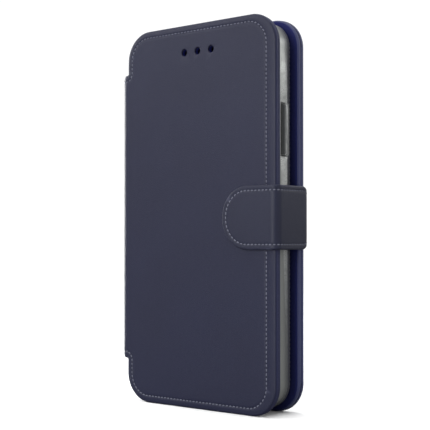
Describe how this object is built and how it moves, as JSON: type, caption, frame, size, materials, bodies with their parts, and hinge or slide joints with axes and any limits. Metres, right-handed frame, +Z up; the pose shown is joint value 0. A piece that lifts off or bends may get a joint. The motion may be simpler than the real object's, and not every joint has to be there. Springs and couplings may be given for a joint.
{
  "type": "phone wallet case",
  "caption": "Book-style leather phone wallet case with a folding spine, card pockets, a moulded phone tray and a magnetic strap.",
  "frame": {"origin": "centre of the closed case's bounding box, on the ground that its covers stand on", "axes": "+Z up along the case's height, +Y from the front cover to the back cover, +X from the spine to the free edge with the strap"},
  "size_m": [0.0798, 0.0214, 0.149],
  "materials": {
    "navy_leather": "fine-grained coated leather, satin",
    "navy_lining": "smooth matt microfibre",
    "grey_thread": "polyester thread",
    "grey_board": "pressed board",
    "plated_steel": "nickel-plated",
    "pad_felt": "felt padding",
    "pad_rubber": "foam rubber with adhesive",
    "charcoal_plastic": "fine texture",
    "silver_plastic": "satin metallic paint"
  },
  "bodies": {
    "front_cover": {"front_leather": "navy_leather", "front_board": "grey_board", "front_lining": "navy_lining", "front_stitching": "grey_thread", "keeper_plate": "plated_steel", "cash_pocket": "navy_lining", "card_slot_1": "navy_lining", "card_slot_2": "navy_lining", "card_slot_3": "navy_lining", "pocket_stitching": "grey_thread"},
    "spine": {"spine_leather": "navy_leather", "spine_board": "grey_board", "spine_lining": "navy_lining", "spine_stitching": "grey_thread"},
    "back_cover": {"back_leather": "navy_leather", "back_board": "grey_board", "back_foam": "pad_felt", "back_lining": "navy_lining", "back_stitching": "grey_thread", "camera_bezel": "charcoal_plastic", "adhesive_pad": "pad_rubber", "tray_base": "charcoal_plastic", "tray_frame": "silver_plastic", "strap_root": "navy_leather", "strap_root_stitching": "grey_thread"},
    "key": {"side_key": "silver_plastic"},
    "strap": {"strap_side_leather": "navy_leather", "strap_side_lining": "navy_lining", "strap_side_stitching": "grey_thread", "strap_front_bend": "navy_leather"},
    "tab": {"tab_leather": "navy_leather", "tab_board": "grey_board", "tab_magnets": "plated_steel", "tab_lining": "navy_lining", "tab_stitching": "grey_thread"}
  },
  "joints": [
    {"name": "spine_fold", "type": "hinge", "parent": "back_cover", "child": "spine", "pos_m": [-0.03886, 0.00838, 0.07475], "axis": [0, 0, -1], "range_deg": [0, 90]},
    {"name": "cover_fold", "type": "hinge", "parent": "spine", "child": "front_cover", "pos_m": [-0.03886, -0.00808, 0.07475], "axis": [0, 0, -1], "range_deg": [0, 90], "deforming": ["tab_leather", "tab_board", "tab_magnets", "tab_lining", "tab_stitching", "strap_front_bend"]},
    {"name": "strap_fold", "type": "hinge", "parent": "back_cover", "child": "strap", "pos_m": [0.03864, 0.00941, 0.0734], "axis": [0, 0, 1], "range_deg": [0, 120]},
    {"name": "tab_fold", "type": "hinge", "parent": "strap", "child": "tab", "pos_m": [0.03864, -0.00941, 0.0734], "axis": [0, 0, 1], "range_deg": [0, 90]},
    {"name": "key_press", "type": "slide", "parent": "back_cover", "child": "key", "axis": [-1, 0, 0], "range_m": [0, 0.0004], "stiffness_N_per_m": 800, "springref_m": -0.0005}
  ]
}
